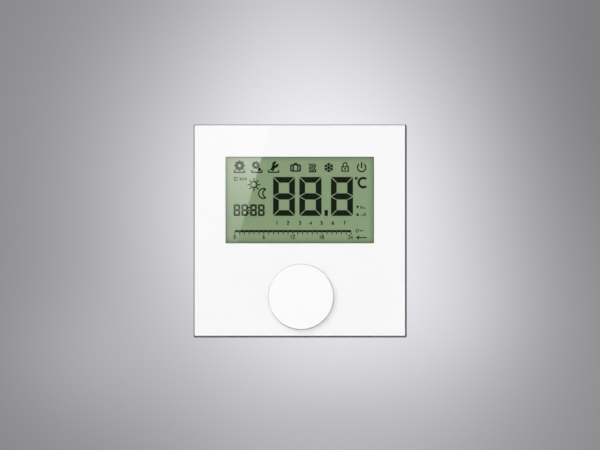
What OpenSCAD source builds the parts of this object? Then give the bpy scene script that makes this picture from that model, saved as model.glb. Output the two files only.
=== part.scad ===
// Wall thermostat: a base plate screwed over a wall box, and a front module that hangs on two
// bars at the base's top edge, tilts down over the contacts and snaps onto a spring below.
// Every piece is drawn lying down: x runs across, y runs up the wall and z runs off the wall,
// and on_wall() stands it up. The origin is on the wall, midway between the two fixing screws.

/* [Front pane] */
// Width and height of the clear front pane
face_w = 85; // [83:0.5:95]
// Thickness of the pane
pane_t = 2; // [1.5:0.1:3]
// Radius of the pane's upright corners
pane_corner_r = 0.3; // [0.3:0.1:3]
// Bevel round the pane's front edge
pane_bevel = 0.3; // [0.1:0.05:0.6]
// Thickness of the white film behind the pane
mask_t = 0.3; // [0.1:0.05:0.5]
// Thickness of the adhesive behind the film
adhesive_t = 0.2; // [0.1:0.05:0.4]
// Margin between the pane's sides and the display window in the film
window_side = 12.5; // [12.5:0.5:17.5]
// Margin between the pane's top edge and the display window
window_head = 12.7; // [12.4:0.1:14]
// Margin between the pane's lower edge and the display window
window_foot = 37.3; // [37.3:0.1:46]

/* [Housing] */
// Distance of the housing's front face from the wall
housing_depth = 23; // [23:0.5:30]
// Gap between the housing's rear edge and the wall
wall_gap = 1; // [0.8:0.1:2]
// Thickness of the housing's side walls at the front
shell_side_t = 2; // [1.6:0.1:2.2]
// Thickness of the housing's front wall
shell_front_t = 2; // [1.6:0.1:2.4]
// How far each side wall flares out towards the wall
flare = 0.65; // [0.2:0.05:1.5]
// Slope cut off the top rear edge, so that the module can tilt
tilt_relief = 2; // [1.5:0.1:2.4]
// Radius of the housing's upright corners at the front
shell_corner_r = 0.5; // [0.5:0.1:2]
// Number of vent slots in the top wall, and in the bottom wall
vent_count = 12; // [4:2:14]
// Distance between two vent slots
vent_pitch = 5; // [4:0.25:5]
// Width of a vent slot
vent_w = 2; // [1:0.1:2.5]
// Length of a vent slot
vent_h = 7; // [4:0.5:8]
// Radius of the screw bosses behind the front wall
boss_r = 2.6; // [2.3:0.1:2.7]

/* [Base plate] */
// Thickness of the base plate's floor
base_t = 2; // [1.6:0.1:3]
// Height of the base plate's rim above the wall
rim_h = 5; // [4:0.1:5.5]
// Thickness of the base plate's rim
rim_t = 1.6; // [1.2:0.1:2]
// Distance between the two wall screws
wall_screw_spacing = 60; // [56:0.5:61]
// Width of the wall screw slots
slot_w = 4.2; // [3.5:0.1:5]
// Length of the wall screw slots
slot_l = 8; // [6:0.5:9]
// Width of the cable opening
cable_w = 40; // [24:1:42]
// Height of the cable opening
cable_h = 20; // [14:1:20]

/* [Hinge and latch] */
// Distance of each hinge hook from the middle
hinge_x = 22; // [15:0.5:26]
// Diameter of the hinge bars
bar_d = 2.4; // [2:0.1:2.6]
// Wall thickness of a hook
hook_t = 1.2; // [1:0.1:1.4]
// Width of a hook
hook_w = 6; // [4:0.5:8]
// Width of the latch spring
latch_w = 8; // [6:0.5:12]
// Thickness of the latch spring
latch_t = 0.5; // [0.3:0.05:0.8]

/* [Terminals] */
// Number of wire terminals
pole_count = 5; // [3:1:5]
// Distance between two terminals
pole_pitch = 8; // [7.6:0.1:8.2]
// Thickness of a contact blade
blade_t = 0.8; // [0.5:0.1:1]
// Width of a contact blade
blade_w = 3; // [2:0.1:3.2]

/* [Circuit board and display] */
// Thickness of the circuit board
board_t = 1.6; // [1:0.1:1.8]
// Thickness of the rear cover
cover_t = 1.2; // [1:0.1:1.5]
// Thickness of each glass plate of the display
glass_t = 1.1; // [0.7:0.1:1.1]
// Margin of the display glass round the window
glass_margin = 3; // [2:0.25:3]
// Height of the contact ledge on the rear glass
ledge_h = 3; // [2.5:0.1:3]
// Thickness of each polariser
polariser_t = 0.2; // [0.1:0.05:0.3]

/* [Knob and encoder] */
// Diameter of the knob
knob_d = 26.4; // [22:0.1:27]
// Height of the knob
knob_h = 5.1; // [4.6:0.1:8]
// Gap between the knob and the pane
knob_gap = 1.4; // [1:0.1:3]
// Radius of the knob's front edge
knob_edge_r = 0.4; // [0.3:0.1:1.2]
// Wall thickness of the knob's skirt
knob_wall = 1.4; // [1:0.1:2]
// Offset of the knob to the right of the middle
knob_x = 0.5; // [-1:0.1:1]
// Height of the knob's centre above the pane's lower edge
knob_foot = 15.75; // [15.5:0.05:16.1]
// How far the knob can be pressed in
press_travel = 0.6; // [0.3:0.05:0.6]
// Diameter of the encoder shaft
shaft_d = 6; // [5:0.1:6]
// Outer diameter of the encoder's bush
bush_d = 7; // [6.8:0.1:8]
// Width of the encoder's square body
encoder_w = 14; // [13.6:0.1:14]
// Number of detents in one turn
detent_count = 20; // [12:1:30]

/* [Fits] */
// Gap between pieces that pass or face each other
fit_gap = 0.3; // [0.25:0.01:0.35]
// Gap round a shaft that runs in a bore, and round a screw in its hole
run_gap = 0.05; // [0.03:0.01:0.08]

/* [Hidden] */
$fn = 48;

shell_colour = [0.50, 0.50, 0.51];
base_colour = [0.86, 0.86, 0.84];
white = [0.96, 0.96, 0.96];
black = [0.12, 0.12, 0.13];
steel = [0.72, 0.72, 0.74];
brass = [0.78, 0.65, 0.32];
board_colour = [0.12, 0.34, 0.20];
clear = [0.85, 0.90, 0.92, 0.35];

// The housing: its inside is a straight square shaft
inner_w = face_w - 2 * shell_side_t;
shell_back = housing_depth - shell_front_t;
pane_back = housing_depth + adhesive_t + mask_t;
pane_front = pane_back + pane_t;
plate_w = inner_w - 2 * fit_gap;

// The hinge axis and the base plate's top edge, which stays inside the swing of the top wall
hinge_y = inner_w / 2 - 1.7;
hinge_z = base_t + 1.2;
base_top = hinge_y + 0.5;
base_bottom = -plate_w / 2;
hook_r = bar_d / 2 + fit_gap + hook_t;
notch_w = hook_w + 2;
lug_t = 2;

// The cable opening ends below the rear cover's tub
tub_low = 6;
cable_y = tub_low - 2 - cable_h / 2;

// The encoder stands between the board and the front wall, so it sets the board's place
encoder_wall_gap = 0.1;
bracket_t = 0.4;
bush_flange_t = 1.7;
encoder_base_h = 3.2;
encoder_top = shell_back - encoder_wall_gap;
flange_top = encoder_top - bracket_t;
flange_back = flange_top - bush_flange_t;
board_front = flange_back - encoder_base_h;
board_back = board_front - board_t;
screw_xy = plate_w / 2 - 3.8;
edge_rim_t = 0.9;
board_w = plate_w - 2 * (edge_rim_t + fit_gap);

// The rear cover: a shallow floor over the terminals, and a deep tub over the tall components
solder_gap = 0.8;
cover_front = board_back - solder_gap;
cover_back = cover_front - cover_t;
tub_back = base_t + fit_gap;
tub_high = hinge_y - hook_r - 0.7;
tub_w = plate_w - 12.4;
tub_floor = tub_back + cover_t;

// The tall components stand in the tub. The relay and the supply capacitor keep to its left side,
// the varistor and the coil to its right side, and the round ones stand between them
tall_space = board_back - tub_floor - fit_gap;
tub_side = tub_w / 2 - cover_t - fit_gap;
tub_foot = tub_low + cover_t + fit_gap;
tub_head = tub_high - cover_t - fit_gap;
relay_w = 19;
relay_h = 15.5;
relay_x = relay_w / 2 + 3 - tub_side;
relay_y = tub_foot + relay_h / 2 + 0.2;
supply_w = 17.5;
supply_h = 6;
supply_y = tub_head - supply_h / 2 - 0.2;
varistor_r = tall_space / 2 - 0.1;
varistor_foot = 0.4;
varistor_x = tub_side - varistor_r - 1.6;
varistor_y = tub_foot + 4.5;
smoothing_r = 4;
smoothing_x = (relay_x + relay_w / 2 + varistor_x - varistor_r) / 2;
smoothing_y = tub_foot + smoothing_r + 0.5;
cell_r = 6;
cell_x = 9;
cell_y = tub_head - cell_r - 0.3;
fuse_r = 4;
fuse_x = (relay_x + supply_w / 2 + cell_x - cell_r) / 2;
fuse_y = tub_head - fuse_r - 0.9;
coil_r = 5.5;
coil_x = tub_side - coil_r - 1.5;
coil_y = tub_head - coil_r - 3.4;

// The display stack, from the film back to the board
window_w = face_w - 2 * window_side;
window_h = face_w - window_head - window_foot;
window_y = (window_foot - window_head) / 2;
gasket_t = 0.6;
glass_w = window_w + 2 * glass_margin;
glass_h = window_h + 2 * glass_margin;
ledge_glass_h = glass_h + ledge_h;
ledge_glass_y = window_y - ledge_h / 2;
front_polariser_top = housing_depth + adhesive_t - gasket_t;
front_glass_back = front_polariser_top - polariser_t - glass_t;
rear_glass_back = front_glass_back - glass_t;
guide_top = rear_glass_back - polariser_t;
guide_w = glass_w - 1.6;
guide_h = glass_h - 1.6;
reflector_t = 0.3;
frame_floor_t = 1.2;
reflector_back = board_front + frame_floor_t;
frame_wall_t = 1.3;
pocket_gap = 0.2;
frame_w = glass_w + 2 * (pocket_gap + frame_wall_t);
frame_h = ledge_glass_h + 2 * (pocket_gap + frame_wall_t);
frame_top = shell_back - fit_gap;
peg_x = 28;
peg_y = window_y + guide_h / 2 - 3;
led_count = 4;
led_pitch = 8;
led_w = 3;
led_t = 1;
led_x = guide_w / 2 + 0.2;
strip_w = glass_w - 6;
strip_t = 2;
strip_y = window_y - glass_h / 2 - ledge_h / 2;

// The knob and the pieces inside the encoder
knob_y = knob_foot - face_w / 2;
knob_back = pane_front + knob_gap;
knob_front = knob_back + knob_h;
knob_roof_t = 1.6;
hub_r = shaft_d / 2 + 2;
shaft_top = knob_front - 1.3;
flat_x = shaft_d / 4;
clip_t = 0.5;
clip_w = 4;
clip_l = 3.4;
bush_top = pane_front - 0.1;
bush_hole_r = bush_d / 2 + 1;
shaft_bore_r = shaft_d / 2 + run_gap;
well_floor = board_front + 0.9;
dome_h = press_travel + 0.1;
rotor_back = well_floor + dome_h + 0.15;
rotor_t = 0.9;
rotor_top = rotor_back + rotor_t;
rotor_r = encoder_w / 2 - 1;
spigot_r = 2;
spigot_flat = 1.5;
spigot_tip = well_floor + dome_h + run_gap;
shaft_shoulder = rotor_top + press_travel + 0.35;
ring_t = 0.4;
ring_back = shaft_shoulder + 0.2;
ring_r = 4.3;
ring_well_r = 4.6;
detent_spring_t = 0.2;
detent_bump_r = 0.3;
detent_z = flange_back - detent_bump_r - 0.05;

// The terminal block; its blades and sockets meet in a line below the screws
block_w = pole_count * pole_pitch + 1;
block_bottom = base_bottom + 5;
block_front = cover_back - 0.4;
blade_y = block_bottom + 3.3;
cage_y = blade_y + 5.9;
cage_w = 5.8;
cage_l = 6.8;
cage_wall_t = 0.7;
block_top = cage_y + cage_l / 2 + 0.7;
strip_floor = base_t + 1;
bus_t = 0.6;
cage_back = strip_floor + bus_t;
// The cage is as high as the room over it allows: its screw's head stands in the block's well
cage_h = block_front - cage_back - 2.8;
wire_r = cage_h / 2 - cage_wall_t;
terminal_screw_r = 1.2;
tab_l = 5.8;
tab_t = 2;
tab_screw_x = block_w / 2 + 2.9;
tab_screw_y = block_bottom + 6.7;
post_h = 4;

// The latch: a bent strip on the base plate, with a nose in the bottom wall's slot
latch_y = base_bottom + rim_t + 0.2;
nose_z = rim_h + 2.2;
nose_h = 1.5;
cover_screw_r = 1.2;

// Stands a piece that was drawn lying down up against the wall
module on_wall() rotate([90, 0, 0]) children();

// A square with rounded corners, about the middle
module rounded_square(w, h, r) {
    square([w - 2 * r, h], center = true);
    square([w, h - 2 * r], center = true);
    for (x = [-1, 1], y = [-1, 1])
        translate([x * (w / 2 - r), y * (h / 2 - r)]) circle(r);
}

// A plate from height z0 to z1, about the middle, with square corners
module plate(w, h, z0, z1) translate([-w / 2, -h / 2, z0]) cube([w, h, z1 - z0]);

// The same plate with rounded corners
module rounded_plate(w, h, z0, z1, r)
    translate([0, 0, z0]) linear_extrude(z1 - z0) rounded_square(w, h, r);

// A round post or hole from height z0 to z1
module post(r, z0, z1) translate([0, 0, z0]) cylinder(r = r, h = z1 - z0);

// A rod along x, about the middle
module cross_rod(r, l) rotate([0, 90, 0]) cylinder(r = r, h = l, center = true);

// A block between two corners
module block(low, high) translate(low) cube(high - low);

// Puts a copy in each of the four corners
module at_corners(dx, dy) for (x = [-dx, dx], y = [-dy, dy]) translate([x, y, 0]) children();

// Puts a copy at each terminal
module at_poles(y)
    for (i = [0 : pole_count - 1])
        translate([(i - (pole_count - 1) / 2) * pole_pitch, y, 0]) children();

module at_knob() translate([knob_x, knob_y, 0]) children();

module at_hinges() for (x = [-hinge_x, hinge_x]) translate([x, hinge_y, 0]) children();

// A screw from the front or, with flip, from behind: head on z, shank running away from it
module screw(shank_r, shank_l, head_r, head_h) {
    post(shank_r, -shank_l, 0);
    difference() {
        post(head_r, 0, head_h);
        plate(0.7, 2 * head_r, head_h * 0.5, head_h + 1);
    }
}

// ---- Base plate ----

module wall_slot(r, l, z0, z1) {
    for (x = [-1, 1]) translate([x * (l / 2 - r), 0, 0]) post(r, z0, z1);
    plate(l - 2 * r, 2 * r, z0, z1);
}

module base_outline(inset, z0, z1)
    translate([0, (base_top + base_bottom) / 2, 0])
        rounded_plate(plate_w - 2 * inset, base_top - base_bottom - 2 * inset, z0, z1, 1.5);

module base_floor_vents()
    for (x = [-5 : 5], y = [0, 1])
        translate([x * 5.4, 13.5 + 14 * y, 0]) plate(2, 9, -1, base_t + 1);

module base_plate() on_wall() color(base_colour) {
    base_tray();
    at_hinges() translate([0, 0, hinge_z]) cross_rod(bar_d / 2, notch_w + lug_t);
}

module base_tray() difference() {
    union() {
        base_outline(0, 0, base_t);
        difference() {
            base_outline(0, base_t - 0.5, rim_h);
            base_outline(rim_t, base_t - 1, rim_h + 1);
        }
        for (x = [-1, 1]) translate([x * wall_screw_spacing / 2, 0, 0])
            wall_slot(slot_w / 2 + 2, slot_l + 4, base_t - 0.5, base_t + 1);
        for (x = [-1, 1]) translate([x * tab_screw_x, tab_screw_y, 0])
            post(2.7, base_t - 0.5, base_t + post_h);
        translate([0, cable_y, 0])
            plate(cable_w + 2 * rim_t, cable_h + 2 * rim_t, base_t - 0.5, base_t + 1);
        // Ears on both sides of each notch, which hold the hinge bar
        for (side = [-1, 1]) at_hinges() translate([side * (notch_w + lug_t) / 2, 0, 0])
            block([-lug_t / 2, -2.6, 0], [lug_t / 2, base_top - hinge_y, rim_h]);
    }
    translate([0, cable_y, 0]) plate(cable_w, cable_h, -1, base_t + 4);
    for (x = [-1, 1]) translate([x * wall_screw_spacing / 2, 0, 0])
        wall_slot(slot_w / 2, slot_l, -1, base_t + 2);
    for (x = [-1, 1]) translate([x * tab_screw_x, tab_screw_y, 0])
        post(terminal_screw_r + run_gap, 0.6, base_t + post_h + 1);
    at_hinges() plate(notch_w, 2 * (hook_r + 0.5), -1, rim_h + 1);
    base_floor_vents();
}

module latch_spring() on_wall() color(steel)
    translate([-latch_w / 2, 0, 0]) rotate([90, 0, 90]) linear_extrude(latch_w)
        polygon([
            [latch_y + latch_t + 2.2, base_t], [latch_y, base_t], [latch_y, nose_z],
            [-inner_w / 2 - 1.3, nose_z], [-inner_w / 2 - 1.3, nose_z + 0.4],
            [latch_y, nose_z + nose_h], [latch_y + latch_t, nose_z + nose_h],
            [latch_y + latch_t, base_t + latch_t], [latch_y + latch_t + 2.2, base_t + latch_t]
        ]);

// ---- Terminals ----

module terminal_housing() on_wall() color(black) difference() {
    union() {
        block([-block_w / 2, block_bottom, base_t], [block_w / 2, block_top, block_front]);
        for (x = [-1, 1]) translate([x * tab_screw_x, tab_screw_y, 0])
            plate(tab_l + 0.2, 6, base_t + post_h, base_t + post_h + tab_t);
    }
    at_poles(cage_y) {
        plate(cage_w + 0.4, cage_l + 0.4, strip_floor, cage_back + cage_h + 0.2);
        post(2.1, cage_back + cage_h, block_front + 1);
        translate([0, 0, cage_back + cage_h / 2]) rotate([-90, 0, 0])
            cylinder(r = wire_r, h = block_top - cage_y + 1);
    }
    at_poles(blade_y) {
        plate(3, blade_w + 1.2, strip_floor, block_front + 1);
        block([-2.6, -blade_w / 2 - 0.1, strip_floor],
            [2.6, cage_y - blade_y, strip_floor + bus_t + 0.1]);
    }
    for (x = [-1, 1]) translate([x * tab_screw_x, tab_screw_y, 0])
        post(terminal_screw_r + fit_gap, base_t, base_t + post_h + tab_t + 1);
}

module terminal_cages() on_wall() color(brass) at_poles(cage_y) difference() {
    plate(cage_w, cage_l, cage_back, cage_back + cage_h);
    plate(cage_w - 2 * cage_wall_t, cage_l + 1, cage_back + cage_wall_t,
        cage_back + cage_h - cage_wall_t);
    post(terminal_screw_r + run_gap, cage_back + 2, cage_back + cage_h + 1);
}

module terminal_screws() on_wall() color(steel)
    at_poles(cage_y) translate([0, 0, cage_back + cage_h])
        screw(terminal_screw_r, cage_h - 2, 1.9, 1.3);

module terminal_sockets() on_wall() color(brass) at_poles(blade_y) {
    block([-2.5, -blade_w / 2, strip_floor],
        [2.5, cage_y - blade_y + cage_l / 2, strip_floor + bus_t]);
    for (x = [-1, 1]) translate([x * (blade_t / 2 + run_gap + 0.3), 0, 0])
        plate(0.6, blade_w, strip_floor + bus_t, block_front - 0.8);
}

module terminal_fixing_screws() on_wall() color(steel)
    for (x = [-1, 1]) translate([x * tab_screw_x, tab_screw_y, base_t + post_h + tab_t])
        screw(terminal_screw_r, post_h + tab_t + 1, 2.2, 1.4);

// ---- Front shell ----

module shell_outer() hull() {
    rounded_plate(face_w + 2 * flare, face_w + 2 * flare, wall_gap, wall_gap + 0.2, shell_corner_r);
    rounded_plate(face_w, face_w, housing_depth - 0.2, housing_depth, shell_corner_r);
}

module vents() for (side = [-1, 1], i = [0 : vent_count - 1])
    translate([(i - (vent_count - 1) / 2) * vent_pitch, side * inner_w / 2, 0])
        plate(vent_w, 4 * (shell_side_t + flare), board_back - vent_h / 2, board_back + vent_h / 2);

module hooks() at_hinges() translate([0, 0, hinge_z]) difference() {
    union() {
        cross_rod(hook_r, hook_w);
        block([-hook_w / 2, 0, -hook_r], [hook_w / 2, 2.2, hook_r]);
    }
    cross_rod(bar_d / 2 + fit_gap, hook_w + 1);
    block([-hook_w, -2 * hook_r, -bar_d / 2 + 0.1], [hook_w, 0, bar_d / 2 - 0.1]);
}

module screw_bosses() {
    at_corners(screw_xy, screw_xy) post(boss_r, board_front, shell_back + 0.5);
    for (x = [-1, 1], y = [-1, 1]) {
        translate([x * screw_xy, y * screw_xy, 0]) {
            block([min(0, x * 5), -0.6, board_front + 2], [max(0, x * 5), 0.6, shell_back + 0.5]);
            block([-0.6, min(0, y * 5), board_front + 2], [0.6, max(0, y * 5), shell_back + 0.5]);
        }
    }
}

module side_ribs() for (side = [-1, 1], y = [-24, -12, 0, 12, 24])
    translate([side * inner_w / 2, y, 0]) plate(2, 1, board_front + 0.5, shell_back + 0.5);

module front_shell() on_wall() color(shell_colour) difference() {
    union() {
        difference() {
            shell_outer();
            rounded_plate(inner_w, inner_w, 0, shell_back, 0.8);
            translate([-face_w, face_w / 2 + flare - tilt_relief, wall_gap]) rotate([45, 0, 0])
                translate([0, -tilt_relief, -3 * tilt_relief])
                    cube([2 * face_w, 6 * tilt_relief, 3 * tilt_relief]);
        }
        hooks();
        screw_bosses();
        side_ribs();
    }
    translate([0, ledge_glass_y, 0]) plate(glass_w + 2 * fit_gap, ledge_glass_h + 2 * fit_gap,
        shell_back - 3, housing_depth + 1);
    at_knob() post(bush_hole_r, shell_back - 1, housing_depth + 1);
    vents();
    translate([0, -inner_w / 2, 0]) plate(latch_w + 1, 4 * (shell_side_t + flare),
        nose_z - fit_gap, nose_z + nose_h + 0.4);
    at_corners(screw_xy, screw_xy)
        post(cover_screw_r + run_gap, board_front - 1, shell_back - 0.2);
}

// ---- Pane ----

module front_pane() on_wall() color(clear) difference() {
    hull() {
        rounded_plate(face_w, face_w, pane_back, pane_front - pane_bevel, pane_corner_r);
        rounded_plate(face_w - 2 * pane_bevel, face_w - 2 * pane_bevel,
            pane_front - 2 * pane_bevel, pane_front, pane_corner_r);
    }
    at_knob() post(bush_hole_r, pane_back - 1, pane_front + 1);
}

module pane_mask() on_wall() color(white) difference() {
    rounded_plate(face_w - 0.4, face_w - 0.4, pane_back - mask_t, pane_back, pane_corner_r);
    translate([0, window_y, 0]) plate(window_w, window_h, housing_depth, pane_front);
    at_knob() post(bush_hole_r, housing_depth, pane_front);
}

module pane_adhesive() on_wall() color(white) difference() {
    rounded_plate(face_w - 0.4, face_w - 0.4, housing_depth, housing_depth + adhesive_t,
        pane_corner_r);
    translate([0, ledge_glass_y, 0]) plate(glass_w + 2 * fit_gap, ledge_glass_h + 2 * fit_gap,
        housing_depth - 1, pane_front);
    at_knob() post(bush_hole_r, housing_depth - 1, pane_front);
}

// ---- Display ----

module display_gasket() on_wall() color(black) translate([0, window_y, 0]) difference() {
    plate(glass_w - 1, glass_h - 1, front_polariser_top, front_polariser_top + gasket_t);
    plate(window_w + 1, window_h + 1, front_polariser_top - 1, pane_front);
}

module lcd_polarisers() on_wall() color([0.55, 0.62, 0.50]) translate([0, window_y, 0]) {
    plate(glass_w - 1, glass_h - 1, front_polariser_top - polariser_t, front_polariser_top);
    plate(guide_w, guide_h, guide_top, rear_glass_back);
}

module lcd_glass_front() on_wall() color(clear) translate([0, window_y, 0])
    plate(glass_w, glass_h, front_glass_back, front_glass_back + glass_t);

module lcd_glass_rear() on_wall() color(clear) translate([0, ledge_glass_y, 0])
    plate(glass_w, ledge_glass_h, rear_glass_back, front_glass_back);

module light_guide() on_wall() color([0.80, 0.90, 0.70]) translate([0, window_y, 0])
    plate(guide_w, guide_h, reflector_back + reflector_t, guide_top);

module light_reflector() on_wall() color(white) translate([0, window_y, 0])
    plate(guide_w, guide_h, reflector_back, reflector_back + reflector_t);

module at_leds() translate([led_x, window_y, 0]) for (i = [0 : led_count - 1])
    translate([led_t / 2, (i - (led_count - 1) / 2) * led_pitch, 0]) children();

module backlight_leds() on_wall() color([0.95, 0.93, 0.75])
    at_leds() plate(led_t, led_w, board_front, reflector_back + 2);

module display_frame() on_wall() color(white) difference() {
    union() {
        translate([0, ledge_glass_y, 0]) plate(frame_w, frame_h, board_front, frame_top);
        for (x = [-1, 1]) translate([x * peg_x, peg_y, 0]) post(1, board_back + 0.3, board_front + 1);
    }
    translate([0, ledge_glass_y, 0]) plate(glass_w + 2 * pocket_gap,
        ledge_glass_h + 2 * pocket_gap, rear_glass_back, frame_top + 1);
    translate([0, window_y, 0])
        plate(guide_w + pocket_gap, guide_h + pocket_gap, reflector_back, frame_top + 1);
    at_leds() plate(led_t + 0.4, led_w + 0.4, board_front - 1, reflector_back + 2.4);
    translate([0, strip_y, 0])
        plate(strip_w + 0.4, strip_t + 0.2, board_front - 1, frame_top + 1);
}

module display_connector() on_wall() color([0.85, 0.55, 0.60]) translate([0, strip_y, 0])
    plate(strip_w, strip_t, board_front, rear_glass_back);

// ---- Circuit board ----

module circuit_board() on_wall() color(board_colour) difference() {
    rounded_plate(board_w, board_w, board_back, board_front, 1.5);
    at_corners(screw_xy, screw_xy) post(cover_screw_r + fit_gap, board_back - 1, board_front + 1);
    for (x = [-1, 1]) translate([x * peg_x, peg_y, 0])
        post(1 + run_gap, board_back - 1, board_front + 1);
    at_encoder_pins() plate(0.5, 1, board_back - 1, board_front + 1);
    at_poles(blade_y) plate(blade_t + 0.2, blade_w + 0.2, board_back - 1, board_front + 1);
}

// A component on the board's rear side, with its height towards the wall
module rear_block(x, y, w, h, tall) translate([x, y, 0]) plate(w, h, board_back - tall, board_back);

module rear_can(x, y, r, tall) translate([x, y, 0]) post(r, board_back - tall, board_back);

module front_block(x, y, w, h, tall)
    translate([x, y, 0]) plate(w, h, board_front, board_front + tall);

module relay() on_wall() color([0.15, 0.25, 0.45])
    rear_block(relay_x, relay_y, relay_w, relay_h, tall_space);

module supply_capacitor() on_wall() color([0.75, 0.70, 0.45])
    rear_block(relay_x, supply_y, supply_w, supply_h, tall_space - 1);

module smoothing_capacitors() on_wall() color([0.20, 0.22, 0.30])
    for (side = [-1, 1]) translate([smoothing_x + side * (smoothing_r + 1), smoothing_y, 0])
        difference() {
            rear_can(0, 0, smoothing_r, tall_space - 0.4);
            for (turn = [0, 90]) rotate(turn)
                plate(5, 0.3, board_back - tall_space, board_back - tall_space + 0.6);
        }

module surge_varistor() on_wall() color([0.15, 0.30, 0.55])
    translate([varistor_x, varistor_y, board_back - varistor_r + varistor_foot])
        rotate([90, 0, 0]) difference() {
            cylinder(r = varistor_r, h = 3.4, center = true);
            translate([-varistor_r, varistor_r - varistor_foot, -3])
                cube([2 * varistor_r, 3, 6]);
        }

module fuse() on_wall() color([0.55, 0.45, 0.30]) rear_can(fuse_x, fuse_y, fuse_r, tall_space - 2);

module backup_cell() on_wall() color(steel) rear_can(cell_x, cell_y, cell_r, 3.2);

module filter_coil() on_wall() color([0.60, 0.35, 0.20]) translate([coil_x, coil_y, 0])
    difference() {
        rear_can(0, 0, coil_r, tall_space - 3);
        difference() {
            post(coil_r + 1, board_back - tall_space + 4, board_back - 1);
            post(coil_r - 1.3, board_back - tall_space, board_back + 1);
        }
    }

// The small parts at the board's front keep their distance to its left and lower edges
module microcontroller() on_wall() color(black)
    front_block(14 - board_w / 2, 10 - board_w / 2, 12, 12, 1.4);

module clock_crystal() on_wall() color(steel)
    translate([25 - board_w / 2, 13 - board_w / 2, board_front + 1]) rotate([90, 0, 0])
        cylinder(r = 1, h = 6, center = true);

module small_chips() on_wall() color(black) {
    front_block(board_w / 2 - 22, 13 - board_w / 2, 5, 6, 1.5);
    front_block(board_w / 2 - 13, 13 - board_w / 2, 5, 4, 1.2);
    for (i = [0 : 4]) {
        front_block(board_w / 2 - 19 + 3 * i, 7 - board_w / 2, 1.6, 0.8, 0.5);
        front_block(5 - board_w / 2, 6 - board_w / 2 + 2.3 * i, 0.8, 1.6, 0.5);
    }
}

// The sensor: a half-round body on two legs, in the draught behind the lower vents
module temperature_sensor() on_wall() color(black)
    translate([board_w / 2 - 9, 3.5 - board_w / 2, 0]) {
        for (x = [-0.7, 0.7]) translate([x, 0, 0]) post(0.25, board_front, board_front + 2.2);
        difference() {
            post(1.6, board_front + 2, board_front + 4.8);
            translate([0, 1.6, 0]) plate(4, 2, board_front + 1, board_front + 6);
        }
    }

module contact_header() on_wall() color(black) difference() {
    translate([0, blade_y, 0]) plate(block_w - 1, blade_w + 1.8, cover_back, board_back);
    at_poles(blade_y) plate(blade_t + 0.1, blade_w + 0.1, cover_back - 1, board_back + 1);
}

module contact_blades() on_wall() color(brass) at_poles(blade_y)
    plate(blade_t, blade_w, cage_back + 2.4, board_front - 0.1);

// ---- Rear cover ----

module tub(inset, z0, z1) translate([0, (tub_low + tub_high) / 2, 0])
    rounded_plate(tub_w - 2 * inset, tub_high - tub_low - 2 * inset, z0, z1, 1.2);

module rear_cover() on_wall() color(base_colour) difference() {
    union() {
        rounded_plate(plate_w, plate_w, cover_back, cover_front, 0.8);
        tub(0, tub_back, cover_front);
        difference() {
            rounded_plate(plate_w, plate_w, cover_back, board_back + 1, 0.8);
            rounded_plate(plate_w - 2 * edge_rim_t, plate_w - 2 * edge_rim_t, cover_back - 1,
                board_back + 2, 0.8);
        }
        at_corners(screw_xy, screw_xy) post(boss_r, cover_front - 0.5, board_back);
    }
    tub(cover_t, tub_floor, cover_front + 1);
    at_corners(screw_xy, screw_xy) post(cover_screw_r + fit_gap, cover_back - 1, board_back + 1);
    translate([0, blade_y, 0])
        plate(block_w - 1 + 2 * fit_gap, blade_w + 1.8 + 2 * fit_gap, cover_back - 1, board_back);
    for (x = [-6 : 6]) translate([x * 5, 3.2 - plate_w / 2, 0])
        plate(2, 3, cover_back - 1, cover_front + 1);
}

module cover_screws() on_wall() color(steel) at_corners(screw_xy, screw_xy)
    translate([0, 0, cover_back]) mirror([0, 0, 1])
        screw(cover_screw_r, shell_back - 1.5 - cover_back, 2.2, 1.6);

// ---- Encoder ----

module at_encoder_pins() at_knob() for (x = [-1, 1], y = [-2, 0, 2])
    if (x < 0 || y != 0) translate([x * (encoder_w / 2 + 0.15), y, 0]) children();

module encoder_base() on_wall() color(black) at_knob() difference() {
    plate(encoder_w, encoder_w, board_front, flange_back);
    post(3.6, well_floor, flange_back + 1);
    post(rotor_r + 0.2, well_floor + dome_h + 0.1, flange_back + 1);
}

module encoder_pins() on_wall() color(steel)
    at_encoder_pins() plate(0.3, 0.8, board_back - 0.5, board_front + 1.6);

module encoder_bush() on_wall() color(steel) at_knob() difference() {
    union() {
        plate(encoder_w, encoder_w, flange_back, flange_top);
        post(bush_d / 2, flange_top - 0.5, bush_top);
    }
    post(shaft_bore_r, flange_back - 1, bush_top + 1);
    post(ring_well_r, flange_back - 1, ring_back + ring_t + run_gap);
}

module encoder_bracket() on_wall() color(steel) at_knob() difference() {
    plate(encoder_w, encoder_w + 2 * bracket_t, board_front + 0.1, encoder_top);
    plate(encoder_w + 1, encoder_w, board_front - 1, flange_top);
    post(bush_d / 2 + 0.1, board_front, encoder_top + 1);
    for (side = [-1, 1]) translate([0, side * encoder_w / 2, 0])
        plate(5, 4, board_front + 1.4, flange_back + 0.4);
}

// A flat ring under the bush's flange, with two bumps that rest in the rotor's notches
module detent_spring() on_wall() color(steel) at_knob() {
    difference() {
        post(rotor_r, flange_back - detent_spring_t, flange_back);
        post(ring_well_r + 0.15, board_front, flange_back + 1);
    }
    for (turn = [0, 180]) rotate(turn)
        translate([(rotor_r + ring_well_r) / 2 + 0.1, 0, detent_z])
            rotate([0, 90, 0]) cylinder(r = detent_bump_r, h = 0.9, center = true);
}

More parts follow.
